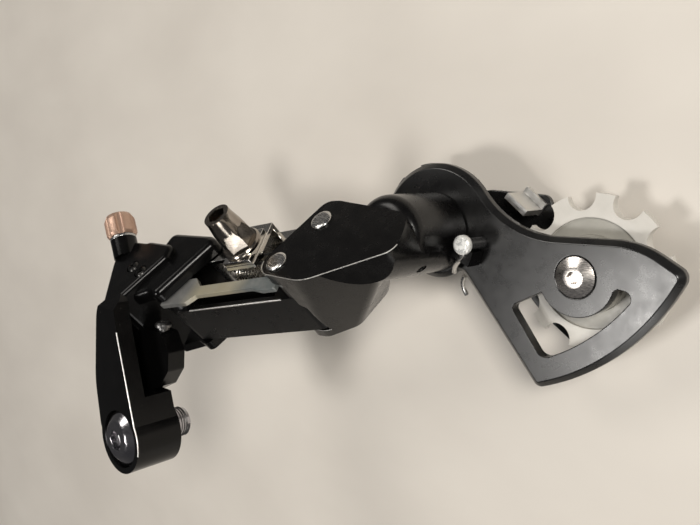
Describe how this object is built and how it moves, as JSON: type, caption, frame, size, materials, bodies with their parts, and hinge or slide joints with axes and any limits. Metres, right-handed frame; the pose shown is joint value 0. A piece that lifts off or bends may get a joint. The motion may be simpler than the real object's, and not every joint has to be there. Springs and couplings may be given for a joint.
{
  "type": "rear derailleur",
  "caption": "Rear derailleur with a hanger bolt, slanted parallelogram linkage, cable clamp and a sprung cage that carries a guide pulley and a tension pulley.",
  "frame": {"origin": "on the hanger bolt's axis, at the face that meets the hanger", "axes": "+Z out along the bolt to its head, +X from the bolt towards the cage, +Y up as in the picture"},
  "size_m": [0.1794, 0.0985, 0.0836],
  "materials": {
    "black_alloy": "satin black coating",
    "chrome": "polished",
    "steel": "satin",
    "copper_knob": "copper-tinted anodised",
    "grey_plastic": "matte",
    "dark_plastic": "matte"
  },
  "bodies": {
    "hanger": {"hanger_bolt": "chrome", "retaining_clip": "steel", "thrust_washer": "steel"},
    "bracket": {"bracket_body": "black_alloy", "bracket_bush": "steel", "upper_outer_pin": "steel", "upper_inner_pin": "steel", "adjuster_spring": "steel"},
    "adjuster": {"barrel_adjuster": "copper_knob"},
    "high_limit": {"high_limit_screw": "steel"},
    "low_limit": {"low_limit_screw": "steel"},
    "stop_adjuster": {"stop_screw": "steel"},
    "outer_link": {"outer_link": "black_alloy", "link_plate": "steel", "return_spring": "steel"},
    "inner_link": {"inner_link": "chrome", "clamp_plate": "chrome", "anchor_bolt": "chrome"},
    "knuckle": {"knuckle_body": "black_alloy", "lower_outer_pin": "steel", "lower_inner_pin": "steel", "knuckle_set_screw": "steel", "cage_torsion_spring": "steel"},
    "cage": {"outer_cage_plate": "black_alloy", "inner_cage_plate": "black_alloy", "cage_axle": "steel", "cage_stop_pin": "chrome", "chain_keeper": "chrome", "tension_pulley_bolt": "chrome", "guide_pulley_bolt": "chrome", "guide_bush": "steel", "tension_bush": "steel", "guide_outer_cap": "steel", "guide_inner_cap": "steel", "tension_outer_cap": "steel", "tension_inner_cap": "steel"},
    "guide_pulley": {"guide_pulley": "dark_plastic"},
    "tension_pulley": {"tension_pulley": "grey_plastic"}
  },
  "joints": [
    {"name": "bracket_swing", "type": "hinge", "parent": "hanger", "child": "bracket", "pos_m": [0, 0, 0], "axis": [0, 0, 1], "range_deg": [-20, 40]},
    {"name": "outer_link_swing", "type": "hinge", "parent": "bracket", "child": "outer_link", "pos_m": [0.0067, 0.03924, -0.00547], "axis": [0, 0.7071, 0.7071], "range_deg": [-56, 4], "stiffness_Nm_per_rad": 0.4, "springref_deg": 4.01, "deforming": ["return_spring"]},
    {"name": "inner_link_swing", "type": "hinge", "parent": "bracket", "child": "inner_link", "pos_m": [0.01318, 0.05059, -0.01682], "axis": [0, 0.7071, 0.7071], "range_deg": [-56, 4]},
    {"name": "knuckle_swing", "type": "hinge", "parent": "outer_link", "child": "knuckle", "pos_m": [0.05265, 0.04856, -0.01479], "axis": [0, 0.7071, 0.7071], "range_deg": [-4, 56]},
    {"name": "cage_swing", "type": "hinge", "parent": "knuckle", "child": "cage", "pos_m": [0.078, 0.0673, -0.0425], "axis": [0, 0, 1], "range_deg": [0, 100], "stiffness_Nm_per_rad": 0.25, "springref_deg": -51.57, "deforming": ["cage_torsion_spring"]},
    {"name": "guide_spin", "type": "hinge", "parent": "cage", "child": "guide_pulley", "pos_m": [0.0704, 0.0701, -0.053], "axis": [0, 0, 1], "continuous": true},
    {"name": "tension_spin", "type": "hinge", "parent": "cage", "child": "tension_pulley", "pos_m": [0.12228, 0.0586, -0.053], "axis": [0, 0, 1], "continuous": true},
    {"name": "adjuster_turn", "type": "hinge", "parent": "bracket", "child": "adjuster", "pos_m": [-0.0192, 0.0552, 0.0016], "axis": [-0.4939, 0.8639, -0.099], "continuous": true},
    {"name": "high_limit_turn", "type": "hinge", "parent": "bracket", "child": "high_limit", "pos_m": [-0.0079, 0.05296, 0.00556], "axis": [0, 0.7071, 0.7071], "continuous": true},
    {"name": "low_limit_turn", "type": "hinge", "parent": "bracket", "child": "low_limit", "pos_m": [-0.0019, 0.05211, 0.0064], "axis": [0, 0.7071, 0.7071], "continuous": true},
    {"name": "stop_screw_turn", "type": "hinge", "parent": "bracket", "child": "stop_adjuster", "pos_m": [0.0046, 0.035, 0.0033], "axis": [0, 1, 0], "continuous": true}
  ],
  "couplings": [
    {"joint": "inner_link_swing", "follows": "outer_link_swing", "ratio": 1},
    {"joint": "knuckle_swing", "follows": "outer_link_swing", "ratio": -1}
  ]
}
